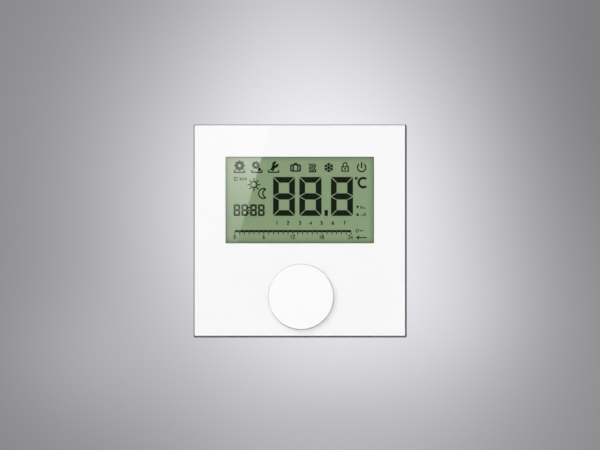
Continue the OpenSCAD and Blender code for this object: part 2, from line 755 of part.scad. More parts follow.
module encoder_rotor() on_wall() color([0.85, 0.80, 0.70]) at_knob() difference() {
    post(rotor_r, rotor_back, rotor_top);
    difference() {
        post(spigot_r + run_gap, rotor_back - 1, rotor_top + 1);
        for (side = [-1, 1]) translate([0, side * (spigot_flat + run_gap + 2), 0])
            plate(10, 4, rotor_back - 2, rotor_top + 2);
    }
    for (i = [0 : detent_count - 1]) rotate(i * 360 / detent_count)
        translate([rotor_r, 0, detent_z]) rotate([0, 90, 0])
            cylinder(r = detent_bump_r + 0.15, h = 2.4, center = true);
}

module snap_dome() on_wall() color(steel) at_knob()
    translate([0, 0, well_floor]) rotate_extrude()
        polygon([
            [0, dome_h - 0.15], [1.2, dome_h - 0.25], [2.7, 0], [3, 0],
            [1.3, dome_h - 0.1], [0, dome_h]
        ]);

module shaft_outline(r, z0, z1, flat) difference() {
    post(r, z0, z1);
    translate([flat, -r - 1, z0 - 1]) cube([r + 1, 2 * r + 2, z1 - z0 + 2]);
}

module encoder_shaft() on_wall() color(steel) at_knob() difference() {
    union() {
        post(shaft_d / 2, shaft_shoulder, bush_top + 0.6);
        shaft_outline(shaft_d / 2, bush_top + 0.5, shaft_top, flat_x);
        difference() {
            post(spigot_r, spigot_tip, shaft_shoulder + 0.5);
            for (side = [-1, 1]) translate([0, side * (spigot_flat + 2), 0])
                plate(10, 4, spigot_tip - 1, shaft_shoulder);
        }
    }
    difference() {
        post(shaft_d, ring_back, ring_back + ring_t);
        post(shaft_d / 2 - 0.4, ring_back - 1, ring_back + 2);
    }
}

module shaft_ring() on_wall() color(steel) at_knob() difference() {
    post(ring_r, ring_back, ring_back + ring_t);
    post(shaft_d / 2 - 0.4, ring_back - 1, ring_back + 1);
    block([0, -0.8, ring_back - 1], [ring_r + 1, 0.8, ring_back + 1]);
}

// ---- Knob ----

module knob() on_wall() color(white) at_knob() difference() {
    union() {
        difference() {
            translate([0, 0, knob_back]) rotate_extrude($fn = 96) knob_profile();
            post(knob_d / 2 - knob_wall, knob_back - 1, knob_front - knob_roof_t);
        }
        post(hub_r, knob_back, knob_front - 1);
        for (i = [0 : 7]) rotate(22.5 + 45 * i)
            block([hub_r - 0.5, -0.4, knob_back + 1],
                [knob_d / 2 - knob_wall / 2, 0.4, knob_front - 1]);
    }
    shaft_outline(shaft_bore_r, knob_back - 1, shaft_top + 0.2, flat_x + run_gap);
    block([flat_x, -clip_w / 2 - run_gap, knob_back - 1],
        [flat_x + clip_t + 2 * run_gap, clip_w / 2 + run_gap, shaft_top + 0.2]);
}

// Half of the knob's section: flat front, rounded front edge and a small bevel behind
module knob_profile() {
    rim_r = knob_d / 2;
    bevel = 0.3;
    square([rim_r - knob_edge_r, knob_h]);
    translate([0, bevel]) square([rim_r, knob_h - knob_edge_r - bevel]);
    translate([rim_r - knob_edge_r, knob_h - knob_edge_r]) intersection() {
        circle(knob_edge_r);
        square(2 * knob_edge_r);
    }
    polygon([[0, 0], [rim_r - bevel, 0], [rim_r, bevel], [0, bevel]]);
}

module knob_clip() on_wall() color(steel) at_knob()
    block([flat_x + run_gap, -clip_w / 2, shaft_top - clip_l],
        [flat_x + run_gap + clip_t, clip_w / 2, shaft_top]);

base_plate();
terminal_housing();
terminal_cages();
terminal_screws();
terminal_sockets();
terminal_fixing_screws();
latch_spring();
front_shell();
front_pane();
pane_mask();
pane_adhesive();
display_gasket();
lcd_polarisers();
lcd_glass_front();
lcd_glass_rear();
light_guide();
light_reflector();
backlight_leds();
display_frame();
display_connector();
circuit_board();
microcontroller();
clock_crystal();
relay();
supply_capacitor();
smoothing_capacitors();
surge_varistor();
fuse();
backup_cell();
filter_coil();
small_chips();
temperature_sensor();
contact_header();
contact_blades();
rear_cover();
cover_screws();
encoder_base();
encoder_pins();
encoder_bracket();
encoder_bush();
detent_spring();
snap_dome();
encoder_rotor();
knob();
knob_clip();
encoder_shaft();
shaft_ring();
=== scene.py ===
import math

import bpy
import numpy as np
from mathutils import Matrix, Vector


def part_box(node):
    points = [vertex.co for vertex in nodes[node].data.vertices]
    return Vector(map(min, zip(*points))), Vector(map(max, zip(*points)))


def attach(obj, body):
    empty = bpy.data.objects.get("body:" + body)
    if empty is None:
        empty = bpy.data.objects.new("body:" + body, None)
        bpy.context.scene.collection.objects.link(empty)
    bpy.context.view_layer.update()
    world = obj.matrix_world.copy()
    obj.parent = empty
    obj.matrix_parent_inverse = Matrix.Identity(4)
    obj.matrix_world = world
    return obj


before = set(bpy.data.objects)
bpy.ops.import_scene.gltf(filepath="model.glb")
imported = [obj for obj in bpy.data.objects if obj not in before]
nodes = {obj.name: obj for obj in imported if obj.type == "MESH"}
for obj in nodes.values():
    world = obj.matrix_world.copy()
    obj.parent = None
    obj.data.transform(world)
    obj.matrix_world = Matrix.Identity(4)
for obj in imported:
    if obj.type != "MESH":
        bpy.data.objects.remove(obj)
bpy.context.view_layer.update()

mm = 0.001


# places that everything else is worked out from, in metres
def boxOf(node):
    low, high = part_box(node)
    return np.array(low), np.array(high)


paneLow, paneHigh = boxOf("front_pane")
faceCentre = (paneLow + paneHigh) / 2
faceFront = paneLow[1]
gasketLow, gasketHigh = boxOf("display_gasket")
displayCentre = (gasketLow + gasketHigh) / 2
polariserFront = boxOf("lcd_polarisers")[0][1]
print("frame loaded,", len(nodes), "nodes")


# node helpers
def newMaterial(name):
    material = bpy.data.materials.new(name)
    material.use_nodes = True
    material.node_tree.nodes.clear()
    return material, material.node_tree


def addNode(tree, kind, **settings):
    node = tree.nodes.new(kind)
    for key, value in settings.items():
        setattr(node, key, value)
    return node


def feed(tree, socket, value):
    # a socket takes a number, a colour of three parts, or a link from another node
    if isinstance(value, (int, float)):
        socket.default_value = value
    elif isinstance(value, tuple):
        socket.default_value = (*value, 1.0)
    else:
        tree.links.new(value, socket)


def mathNode(tree, operation, first, second=0.0):
    node = addNode(tree, "ShaderNodeMath", operation=operation)
    for socket, value in zip(node.inputs, (first, second)):
        feed(tree, socket, value)
    return node.outputs[0]


def mixColours(tree, factor, first, second, blend="MIX"):
    node = addNode(tree, "ShaderNodeMix", data_type="RGBA", blend_type=blend)
    for index, value in ((0, factor), (6, first), (7, second)):  # the mix node's colour sockets
        feed(tree, node.inputs[index], value)
    return node.outputs[2]


def objectPlace(tree, stretch=(1, 1, 1)):
    # object coordinates in metres, multiplied by stretch along each axis
    place = addNode(tree, "ShaderNodeTexCoord").outputs["Object"]
    if stretch == (1, 1, 1):
        return place
    mapping = addNode(tree, "ShaderNodeMapping")
    mapping.inputs["Scale"].default_value = stretch
    tree.links.new(place, mapping.inputs["Vector"])
    return mapping.outputs["Vector"]


def noise(tree, place, size, detail=3.0, rough=0.5):
    # size is the width of one blotch in metres
    node = addNode(tree, "ShaderNodeTexNoise")
    node.inputs["Scale"].default_value = 1 / size
    node.inputs["Detail"].default_value = detail
    node.inputs["Roughness"].default_value = rough
    tree.links.new(place, node.inputs["Vector"])
    return node.outputs["Fac"]


def cellPattern(tree, place, size, **settings):
    # size is the width of one cell in metres
    node = addNode(tree, "ShaderNodeTexVoronoi", **settings)
    node.inputs["Scale"].default_value = 1 / size
    tree.links.new(place, node.inputs["Vector"])
    return node.outputs["Distance"]


def mapRange(tree, value, source, target):
    # runs evenly from the first number of target to the second as value crosses source
    node = addNode(tree, "ShaderNodeMapRange")
    for index, number in enumerate((*source, *target), start=1):
        node.inputs[index].default_value = number
    tree.links.new(value, node.inputs[0])
    return node.outputs[0]


def bump(tree, height, distance, strength=1.0):
    node = addNode(tree, "ShaderNodeBump")
    node.inputs["Strength"].default_value = strength
    node.inputs["Distance"].default_value = distance
    tree.links.new(height, node.inputs["Height"])
    return node.outputs["Normal"]


def shaderNode(tree, colour, roughness, normal=None, **sockets):
    # further sockets are named with an underscore for each space
    shader = addNode(tree, "ShaderNodeBsdfPrincipled")
    feed(tree, shader.inputs["Base Color"], colour)
    feed(tree, shader.inputs["Roughness"], roughness)
    for name, value in sockets.items():
        shader.inputs[name.replace("_", " ")].default_value = value
    if normal is not None:
        tree.links.new(normal, shader.inputs["Normal"])
    output = addNode(tree, "ShaderNodeOutputMaterial")
    tree.links.new(shader.outputs[0], output.inputs["Surface"])
    return shader, output


def mixShaders(tree, factor, first, second, output):
    # the first shader where factor is 0, the second where it is 1
    choose = addNode(tree, "ShaderNodeMixShader")
    for socket, source in zip(choose.inputs, (factor, first, second)):
        tree.links.new(source, socket)
    tree.links.new(choose.outputs[0], output.inputs["Surface"])


def shaded(colour, share):
    # each part of the colour times share
    return tuple(part * share for part in colour)


def grey(level):
    return (level,) * 3


# finishes: widths and depths are in mm, and gloss is how far roughness moves either way
plasticGrain = {"cloudWidth": 14, "speckle": 0.08, "span": (0.3, 0.7), "gloss": (-0.05, 0.06), "bump": 0.6}
metalGrain = {"streakWidth": 0.8, "patchWidth": 3.5, "dull": 0.86, "span": (0.25, 0.75),
              "gloss": (-0.08, 0.12), "bump": 0.5}
clearSmear = {"width": 18, "span": (0.35, 0.75), "gloss": (0.0, 0.004)}
foamCells = {"width": 0.35, "poreShade": 0.5, "roughness": 0.95, "depth": 0.05}
boardPattern = {
    "cellWidth": 4.2, "tracksPerCell": 6.0, "trackEdge": (0.55, 0.6), "trackHeight": 0.03, "bump": 0.5,
    "weaveWidth": 0.5, "weaveShare": 0.15, "weaveColour": (0.02, 0.05, 0.03),
    "span": (0.3, 0.7), "roughness": (0.22, 0.34),
}


def glossRange(roughness, look):
    # the lowest and highest roughness of a finish
    return tuple(roughness + step for step in look["gloss"])


def mouldedPlastic(name, colour, roughness, grain, depth, cloud=0.03, specular=0.5):
    # spark-eroded mould grain, with broad cloudy shade and uneven gloss
    material, tree = newMaterial(name)
    place = objectPlace(tree)
    clouds = noise(tree, place, plasticGrain["cloudWidth"] * mm, detail=2.0)
    fine = noise(tree, place, grain * mm, detail=4.0, rough=0.6)
    darker = shaded(colour, 1 - cloud)
    lighter = tuple(min(1.0, part) for part in shaded(colour, 1 + cloud / 2))
    shade = mixColours(tree, clouds, darker, lighter)
    shade = mixColours(tree, mathNode(tree, "MULTIPLY", fine, plasticGrain["speckle"]), shade, darker)
    gloss = mapRange(tree, fine, plasticGrain["span"], glossRange(roughness, plasticGrain))
    shaderNode(tree, shade, gloss, bump(tree, fine, depth * mm, plasticGrain["bump"]),
               Specular_IOR_Level=specular)
    return material


def metalFinish(name, colour, roughness, grain=(1, 1, 12), depth=0.003):
    # rolled or turned metal: thin streaks that lie across the axis with the largest grain number,
    # and dull patches
    material, tree = newMaterial(name)
    streaks = noise(tree, objectPlace(tree, grain), metalGrain["streakWidth"] * mm, detail=5.0, rough=0.6)
    patches = noise(tree, objectPlace(tree), metalGrain["patchWidth"] * mm)
    shade = mixColours(tree, patches, shaded(colour, metalGrain["dull"]), colour)
    gloss = mapRange(tree, streaks, metalGrain["span"], glossRange(roughness, metalGrain))
    shaderNode(tree, shade, gloss, bump(tree, streaks, depth * mm, metalGrain["bump"]), Metallic=1.0)
    return material


def clearPlastic(name, tint, roughness, ior=1.49):
    # clear acrylic or glass, which lets lamp light straight through to what lies behind it
    material, tree = newMaterial(name)
    smears = noise(tree, objectPlace(tree), clearSmear["width"] * mm)
    gloss = mapRange(tree, smears, clearSmear["span"], glossRange(roughness, clearSmear))
    shader, output = shaderNode(tree, tint, gloss, Transmission_Weight=1.0, IOR=ior)
    letThrough = addNode(tree, "ShaderNodeBsdfTransparent")
    feed(tree, letThrough.inputs["Color"], tint)
    shadowRay = addNode(tree, "ShaderNodeLightPath").outputs["Is Shadow Ray"]
    mixShaders(tree, shadowRay, shader.outputs[0], letThrough.outputs[0], output)
    return material


def foamFinish(name, colour):
    # open-cell foam: pores painted dark as their shade, between paler walls
    material, tree = newMaterial(name)
    pores = cellPattern(tree, objectPlace(tree), foamCells["width"] * mm)
    shade = mixColours(tree, pores, shaded(colour, foamCells["poreShade"]), colour)
    shaderNode(tree, shade, foamCells["roughness"], bump(tree, pores, foamCells["depth"] * mm))
    return material


def boardFinish(name, maskColour, trackColour):
    # solder mask over copper tracks: the tracks are thin bands across a square cell pattern
    look = boardPattern
    material, tree = newMaterial(name)
    place = objectPlace(tree)
    cells = cellPattern(tree, place, look["cellWidth"] * mm, distance="CHEBYCHEV", feature="F2")
    bands = mathNode(tree, "PINGPONG", mathNode(tree, "MULTIPLY", cells, look["tracksPerCell"]), 1.0)
    tracks = mapRange(tree, bands, look["trackEdge"], (0.0, 1.0))
    weave = noise(tree, place, look["weaveWidth"] * mm, detail=2.0)
    shade = mixColours(tree, tracks, maskColour, trackColour)
    woven = mathNode(tree, "MULTIPLY", weave, look["weaveShare"])
    shade = mixColours(tree, woven, shade, look["weaveColour"])
    shaderNode(tree, shade, mapRange(tree, weave, look["span"], look["roughness"]),
               bump(tree, tracks, look["trackHeight"] * mm, look["bump"]))
    return material


# display field
displayField = {
    "window": (60.0, 35.0),               # mm, width and height
    "green": (0.320, 0.441, 0.252),
    "greenFar": (0.330, 0.453, 0.261),
    "cloudWidth": 9,                      # mm, of the blotches between the two greens
    # painted shade of the frame at the window's edge: its colour, its reach and its rise
    "edge": (0.138, 0.188, 0.108),
    "edgeReach": (0.75, 0.85),            # mm, at the sides and at the top and bottom
    "edgeRise": 0.12,                     # mm, the foot is shaded this much more than the top
    "grain": 0.32,                        # share of the grain's colour at its strongest
    "grainColour": (0.387, 0.502, 0.306),
    "grainWidth": 0.45,                   # mm
    "grainSpan": (0.3, 0.7),
    "roughness": 0.01,
    "specular": 0.8, "coat": 1.0, "coatIor": 2.3,
}
displayInk = {
    "patchWidth": 1.2, "unevenness": 0.15,  # mm, and share of the colour either way
    "dark": (0.0120, 0.0196, 0.0102), "fine": (0.0168, 0.0280, 0.0140),
    "specular": 1.0, "tint": (0.80, 1.0, 0.73, 1.0), "coat": 1.0, "coatIor": 1.56,
}


def displayFinish(name, look):
    # the reflective field, with painted shade from the frame: its colour darkens towards the window's edge
    # as one less e to the minus distance over reach; the distance to the edge is half the window less
    # the distance from the middle, on each axis
    material, tree = newMaterial(name)
    place = objectPlace(tree)
    parts = addNode(tree, "ShaderNodeSeparateXYZ")
    tree.links.new(place, parts.inputs[0])
    nearness = []
    middle = (displayCentre[0], displayCentre[2] + look["edgeRise"] * mm)
    for axis, socket in enumerate((parts.outputs["X"], parts.outputs["Z"])):
        off = mathNode(tree, "ABSOLUTE", mathNode(tree, "SUBTRACT", socket, float(middle[axis])))
        beyond = mathNode(tree, "SUBTRACT", off, look["window"][axis] / 2 * mm)
        inside = mathNode(tree, "MINIMUM", beyond, 0.0)
        fall = mathNode(tree, "EXPONENT", mathNode(tree, "DIVIDE", inside, look["edgeReach"][axis] * mm))
        nearness.append(mathNode(tree, "SUBTRACT", 1.0, fall))
    openness = mathNode(tree, "MULTIPLY", *nearness)
    clouds = noise(tree, place, look["cloudWidth"] * mm, detail=2.0)
    grain = noise(tree, place, look["grainWidth"] * mm, rough=0.7)
    shade = mixColours(tree, clouds, look["green"], look["greenFar"])
    grainy = mapRange(tree, grain, look["grainSpan"], (0.0, look["grain"]))
    shade = mixColours(tree, grainy, shade, look["grainColour"])
    # painted shade near the window's edge
    shade = mixColours(tree, openness, look["edge"], shade)
    shaderNode(tree, shade, look["roughness"], Specular_IOR_Level=look["specular"],
               Coat_Weight=look["coat"], Coat_IOR=look["coatIor"], Coat_Roughness=0.0)
    return material


def inkFinish(name, colour, look):
    # dark liquid crystal ink, a little uneven, under a glossy film of its own
    material, tree = newMaterial(name)
    patches = noise(tree, objectPlace(tree), look["patchWidth"] * mm)
    shade = mixColours(tree, patches, shaded(colour, 1 - look["unevenness"]),
                       shaded(colour, 1 + look["unevenness"]))
    shaderNode(tree, shade, displayField["roughness"], Specular_IOR_Level=look["specular"],
               Specular_Tint=look["tint"], Coat_Weight=look["coat"], Coat_IOR=look["coatIor"],
               Coat_Roughness=0.0)
    return material


# plastics: colour, roughness, grain width and depth in mm, then cloudiness and specular level;
# metals: colour, roughness, grain along x, y and z, and its depth; clear pieces: tint, roughness, ior
finishes = {
    "housing": mouldedPlastic("housingGrey", (0.170, 0.170, 0.176), 0.5, 0.30, 0.010),
    "basePlastic": mouldedPlastic("basePaleGrey", (0.62, 0.62, 0.60), 0.5, 0.4, 0.012),
    "coverPlastic": mouldedPlastic("coverPaleGrey", (0.55, 0.55, 0.54), 0.55, 0.4, 0.012),
    "framePlastic": mouldedPlastic("frameWhite", (0.78, 0.78, 0.76), 0.5, 0.4, 0.010),
    "pane": clearPlastic("clearPane", (0.998, 0.998, 0.998), 0.0, 1.38),
    "whiteFilm": mouldedPlastic("whiteFilm", (0.838, 0.838, 0.838), 0.6, 0.25, 0.001, 0.004, 0.0),
    "adhesive": mouldedPlastic("adhesiveFilm", (0.70, 0.71, 0.70), 0.6, 0.5, 0.002),
    "gasket": foamFinish("gasketFoam", (0.06, 0.06, 0.06)),
    "field": displayFinish("displayField", displayField),
    "glass": clearPlastic("displayGlass", (0.93, 0.97, 0.94), 0.0, 1.52),
    "guide": clearPlastic("lightGuide", (0.90, 0.97, 0.80), 0.1),
    "reflector": mouldedPlastic("reflectorWhite", (0.85, 0.85, 0.85), 0.35, 0.2, 0.002),
    "ledBody": mouldedPlastic("ledBody", (0.85, 0.80, 0.45), 0.3, 0.2, 0.002),
    "silicone": mouldedPlastic("siliconeStrip", (0.62, 0.30, 0.34), 0.6, 0.15, 0.004),
    "board": boardFinish("boardGreen", (0.015, 0.085, 0.035), (0.03, 0.15, 0.06)),
    "chip": mouldedPlastic("chipBlack", (0.018, 0.018, 0.020), 0.45, 0.12, 0.004),
    "blackPlastic": mouldedPlastic("moulderBlack", (0.030, 0.030, 0.032), 0.5, 0.3, 0.010),
    "relayBlue": mouldedPlastic("relayBlue", (0.025, 0.07, 0.18), 0.35, 0.3, 0.006),
    "capacitorYellow": mouldedPlastic("capacitorYellow", (0.50, 0.42, 0.10), 0.3, 0.4, 0.008),
    "capacitorSleeve": mouldedPlastic("capacitorSleeve", (0.03, 0.035, 0.06), 0.3, 0.3, 0.004),
    "varistorBlue": mouldedPlastic("varistorBlue", (0.02, 0.10, 0.25), 0.3, 0.8, 0.03),
    "fuseBrown": mouldedPlastic("fuseBrown", (0.14, 0.07, 0.03), 0.35, 0.3, 0.004),
    "copper": metalFinish("woundCopper", (0.72, 0.33, 0.18), 0.3, (1, 16, 1), 0.02),
    "steel": metalFinish("platedSteel", (0.62, 0.62, 0.63), 0.28),
    "springSteel": metalFinish("springSteel", (0.50, 0.50, 0.51), 0.32, (1, 1, 14)),
    "dieCast": metalFinish("dieCastZinc", (0.58, 0.58, 0.60), 0.38, (1, 1, 1), 0.006),
    "brass": metalFinish("tinnedBrass", (0.78, 0.62, 0.30), 0.3),
    "rotorPlastic": mouldedPlastic("rotorPlastic", (0.70, 0.62, 0.48), 0.45, 0.2, 0.004),
    "knobPlastic": mouldedPlastic("knobSatinWhite", (0.950, 0.946, 0.946), 0.42, 0.16, 0.004, 0.004, 0.35),
}
wears = {  # which nodes get which finish
    "housing": ["front_shell"],
    "basePlastic": ["base_plate"],
    "coverPlastic": ["rear_cover"],
    "framePlastic": ["display_frame"],
    "pane": ["front_pane"],
    "whiteFilm": ["pane_mask"],
    "adhesive": ["pane_adhesive"],
    "gasket": ["display_gasket"],
    "field": ["lcd_polarisers"],
    "glass": ["lcd_glass_front", "lcd_glass_rear"],
    "guide": ["light_guide"],
    "reflector": ["light_reflector"],
    "ledBody": ["backlight_leds"],
    "silicone": ["display_connector"],
    "board": ["circuit_board"],
    "chip": ["microcontroller", "small_chips", "temperature_sensor"],
    "blackPlastic": ["terminal_housing", "contact_header", "encoder_base"],
    "relayBlue": ["relay"],
    "capacitorYellow": ["supply_capacitor"],
    "capacitorSleeve": ["smoothing_capacitors"],
    "varistorBlue": ["surge_varistor"],
    "fuseBrown": ["fuse"],
    "copper": ["filter_coil"],
    "steel": ["clock_crystal", "backup_cell", "cover_screws", "encoder_pins", "encoder_bracket",
              "encoder_shaft", "terminal_screws", "terminal_fixing_screws"],
    "springSteel": ["latch_spring", "detent_spring", "snap_dome", "knob_clip", "shaft_ring"],
    "dieCast": ["encoder_bush"],
    "brass": ["terminal_cages", "terminal_sockets", "contact_blades"],
    "rotorPlastic": ["encoder_rotor"],
    "knobPlastic": ["knob"],
}
for finish, names in wears.items():
    for name in names:
        for materialSlot in nodes[name].material_slots:
            materialSlot.material = finishes[finish]
print("finishes on", sum(len(names) for names in wears.values()), "nodes")


# strokes of display ink
inkLayer = {"lift": 0.005, "thickness": 0.03}  # mm in front of the polariser
inkBack = polariserFront - inkLayer["lift"] * mm
inkFront = inkBack - inkLayer["thickness"] * mm


def newPiece(name, points, faces, material):
    # an object at the origin, with its place in its mesh
    mesh = bpy.data.meshes.new(name)
    mesh.from_pydata(points, [], faces)
    mesh.materials.append(material)
    piece = bpy.data.objects.new(name, mesh)
    bpy.context.scene.collection.objects.link(piece)
    return piece


def stripBetween(edgeA, edgeB, closed=False):
    # a flat plate between two edge lines: each pair of points gives four corners, two on the
    # front plane and two on the back plane, and quads join each pair's corners to the next's
    edgeA, edgeB = np.asarray(edgeA, float), np.asarray(edgeB, float)
    count = len(edgeA)
    corners = np.zeros((count, 4, 3))
    corners[:, [0, 3], 0] = edgeA[:, :1] * mm + displayCentre[0]
    corners[:, [0, 3], 2] = edgeA[:, 1:] * mm + displayCentre[2]
    corners[:, [1, 2], 0] = edgeB[:, :1] * mm + displayCentre[0]
    corners[:, [1, 2], 2] = edgeB[:, 1:] * mm + displayCentre[2]
    corners[:, :2, 1] = inkFront
    corners[:, 2:, 1] = inkBack
    step = np.arange(count if closed else count - 1)[:, None]
    side = np.arange(4)[None, :]
    following = (step + 1) % count
    quads = np.stack([step * 4 + side, step * 4 + (side + 1) % 4,
                      following * 4 + (side + 1) % 4, following * 4 + side], axis=-1).reshape(-1, 4)
    if not closed:
        last = (count - 1) * 4
        quads = np.vstack([quads, [[3, 2, 1, 0]], [[last, last + 1, last + 2, last + 3]]])
    points = corners.reshape(-1, 3)
    # six times the volume: the sum over the triangles of the first corner times the others'
    # cross product; where it is negative the quads are turned over
    first, second, third, fourth = (points[quads[:, k]] - points[0] for k in range(4))
    volume = np.sum(first * (np.cross(second, third) + np.cross(third, fourth)))
    return points, quads if volume > 0 else quads[:, ::-1]


def stroke(path, width, closed=False):
    # a line of the given width: each point moves either way by half the width times the sum of
    # the normals before and after it, over one plus their dot product
    path = np.asarray(path, float)
    ahead = np.roll(path, -1, axis=0) - path
    if not closed:
        ahead[-1] = ahead[-2]
    ahead /= np.linalg.norm(ahead, axis=1, keepdims=True)
    normal = np.stack([-ahead[:, 1], ahead[:, 0]], axis=1)
    before = np.roll(normal, 1, axis=0)
    if not closed:
        before[0] = normal[0]
    spread = 1 + np.sum(normal * before, axis=1, keepdims=True)
    half = (normal + before) / np.maximum(spread, 0.5) * width / 2  # 0.5 keeps sharp mitres short
    return stripBetween(path + half, path - half, closed)


def unitAt(angle):
    # cosine and sine of the angle, one point or a row of them
    return np.stack([np.cos(angle), np.sin(angle)], axis=-1)


def evenAngles(count):
    # equal steps round a whole turn, in radians
    return np.arange(count) * 2 * np.pi / count


def arc(centre, radius, start, end, count=24, squash=1.0):
    # centre plus radius times the unit circle, at even angles in degrees; squash scales the height
    unit = unitAt(np.radians(np.linspace(start, end, count)))
    return np.asarray(centre) + unit * (radius, radius * squash)


def ring(centre, radius, width, count=32):
    # between the circles half the width outside and inside the radius
    unit = unitAt(evenAngles(count))
    return stripBetween(centre + unit * (radius + width / 2), centre + unit * (radius - width / 2), True)


def disc(centre, radius, count=16):
    # between the upper and lower halves of a circle, x running as the cosine; each half stops
    # a little short, by blunt times a half turn, so that the ends aren't points
    blunt = 0.02
    unit = unitAt(np.linspace(1 - blunt, blunt, count) * np.pi) * radius
    return stripBetween(centre + unit, centre + unit * (1, -1))


def bar(x0, x1, z0, z1):
    # between the top edge and the bottom edge of an upright rectangle
    return stripBetween([(x0, z1), (x1, z1)], [(x0, z0), (x1, z0)])


def uprightBar(x, width, z0, z1):
    # a bar whose middle is at x
    return bar(x - width / 2, x + width / 2, z0, z1)


def triangle(centre, width, height, up=True):
    # between the left and right sides, which run from the ends of the foot to a blunt tip
    tipWidth = 0.04
    sign = 1 if up else -1
    foot, tip = centre[1] - sign * height / 2, centre[1] + sign * height / 2
    return stripBetween([(centre[0] - width / 2, foot), (centre[0] - tipWidth / 2, tip)],
                        [(centre[0] + width / 2, foot), (centre[0] + tipWidth / 2, tip)])


def inkPiece(name, strokes, material):
    # joins strokes to one mesh: a stroke's corner numbers go on from the strokes before it
    starts = np.cumsum([0] + [len(points) for points, quads in strokes[:-1]])
    allPoints = np.vstack([points for points, quads in strokes])
    allQuads = np.vstack([quads + start for start, (points, quads) in zip(starts, strokes)])
    piece = newPiece(name, allPoints.tolist(), allQuads.tolist(), material)
    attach(piece, "front_module")


inkDark = inkFinish("displayInk", displayInk["dark"], displayInk)
inkFine = inkFinish("displayInkFine", displayInk["fine"], displayInk)


# seven-segment digits, in mm from the middle of the display as all marks are
segmentEnds = {"pointIn": 1.3, "shoulderIn": 0.6, "tip": 0.02}  # in waists, in gaps and in mm


def sevenSegments(left, width, look):
    # all seven bars lit: end bars are trapezia, side bars are cut at both ends, and the middle
    # bar is pointed; corner and waist are the cuts outside, and gap the step between bars inside
    foot, thick, gap = look["foot"], look["thick"], look["gap"]
    corner, waist = look["corner"], look["waist"]
    right, top, middle = left + width, foot + look["height"], foot + look["height"] / 2
    halfMiddle = look["middleThick"] / 2
    shoulder = thick + gap
    strokes = []
    for edge, sign in ((top, -1), (foot, 1)):
        strokes.append(stripBetween([(left + corner, edge), (right - corner, edge)],
                                    [(left + shoulder, edge + sign * thick),
                                     (right - shoulder, edge + sign * thick)]))
        outerEnd, innerEnd = middle - sign * waist, middle - sign * (halfMiddle + gap)
        for side, inward in ((left, thick), (right, -thick)):
            strokes.append(stripBetween([(side, edge + sign * corner), (side, outerEnd)],
                                        [(side + inward, edge + sign * shoulder),
                                         (side + inward, innerEnd)]))
    pointIn, shoulderIn = segmentEnds["pointIn"] * waist, thick + segmentEnds["shoulderIn"] * gap
    along = [left + pointIn, left + shoulderIn, right - shoulderIn, right - pointIn]
    rise = np.array([segmentEnds["tip"], halfMiddle, halfMiddle, segmentEnds["tip"]])
    strokes.append(stripBetween(np.stack([along, middle + rise], 1), np.stack([along, middle - rise], 1)))
    return strokes


bigDigits = {
    "foot": -6.4, "height": 15.74, "thick": 2.32, "middleThick": 2.54,
    "gap": 0.215, "corner": 0.26, "waist": 0.26,
    "leftAndWidth": [(-10.8, 8.85), (-0.19, 8.96), (12.58, 8.9)],
    "point": (9.98, 11.38, -6.4, -4.05),
}
digitStrokes = [bar(*bigDigits["point"])]
for left, width in bigDigits["leftAndWidth"]:
    digitStrokes += sevenSegments(left, width, bigDigits)
inkPiece("temperature_digits", digitStrokes, inkDark)

clockDigits = {
    "foot": -6.43, "height": 4.70, "width": 2.71, "thick": 0.78, "middleThick": 0.83,
    "gap": 0.03, "corner": 0.09, "waist": 0.12,
    "lefts": [-26.755, -23.605, -20.055, -16.905],
    "colon": [(-20.52, -2.95), (-20.52, -4.25), (-20.52, -5.25)], "dotRadius": 0.34,
}
clockStrokes = [disc(place, clockDigits["dotRadius"], count=8) for place in clockDigits["colon"]]
for left in clockDigits["lefts"]:
    clockStrokes += sevenSegments(left, clockDigits["width"], clockDigits)
inkPiece("clock_digits", clockStrokes, inkDark)

unitMark = {
    "dot": (22.81, 8.78), "dotRadius": 0.35, "dotLine": 0.5,
    "centre": (25.64, 7.05), "radius": 1.84, "ends": (51, 309), "squash": 1.02, "line": 0.95,
}
inkPiece("degree_mark", [
    ring(unitMark["dot"], unitMark["dotRadius"], unitMark["dotLine"], count=20),
    stroke(arc(unitMark["centre"], unitMark["radius"], *unitMark["ends"], count=30,
               squash=unitMark["squash"]), unitMark["line"]),
], inkDark)


# small plain numerals: each is one or two lines, closed where it says True, in a box one wide
# and two high
numeralShapes = {
    0: [(arc((0.5, 1.0), 0.5, 0, 345, 24, 2.0), True)],
    1: [([(0.15, 1.6), (0.55, 2.0), (0.55, 0.0)], False)],
    2: [(np.vstack([arc((0.5, 1.5), 0.5, 170, -35, 14), [(0.0, 0.05), (1.0, 0.05)]]), False)],
    3: [(np.vstack([arc((0.45, 1.5), 0.5, 150, -75, 12),
                    arc((0.45, 0.52), 0.55, 75, -150, 12)]), False)],
    4: [([(1.05, 0.55), (0.0, 0.55), (0.75, 2.0), (0.75, 0.0)], False)],
    5: [(np.vstack([[(0.9, 1.95), (0.15, 1.95), (0.08, 1.1)],
                    arc((0.42, 0.62), 0.58, 110, -145, 14)]), False)],
    6: [(arc((0.5, 0.58), 0.5, 0, 345, 20, 1.1), True),
        ([(0.02, 0.75), (0.2, 1.45), (0.7, 2.0)], False)],
    7: [([(0.0, 1.93), (0.95, 1.93), (0.35, 0.0)], False)],
    8: [(arc((0.5, 1.5), 0.42, 0, 345, 16, 1.15), True),
        (arc((0.5, 0.55), 0.5, 0, 345, 18, 1.1), True)],
}


def numeral(figure, centre, look):
    # the figure's lines, scaled to the height and moved so that their box is centred
    scale = look["height"] / 2
    corner = np.array([centre - scale / 2, look["foot"]])
    return [stroke(np.asarray(path) * scale + corner, look["line"], closed)
            for path, closed in numeralShapes[figure]]


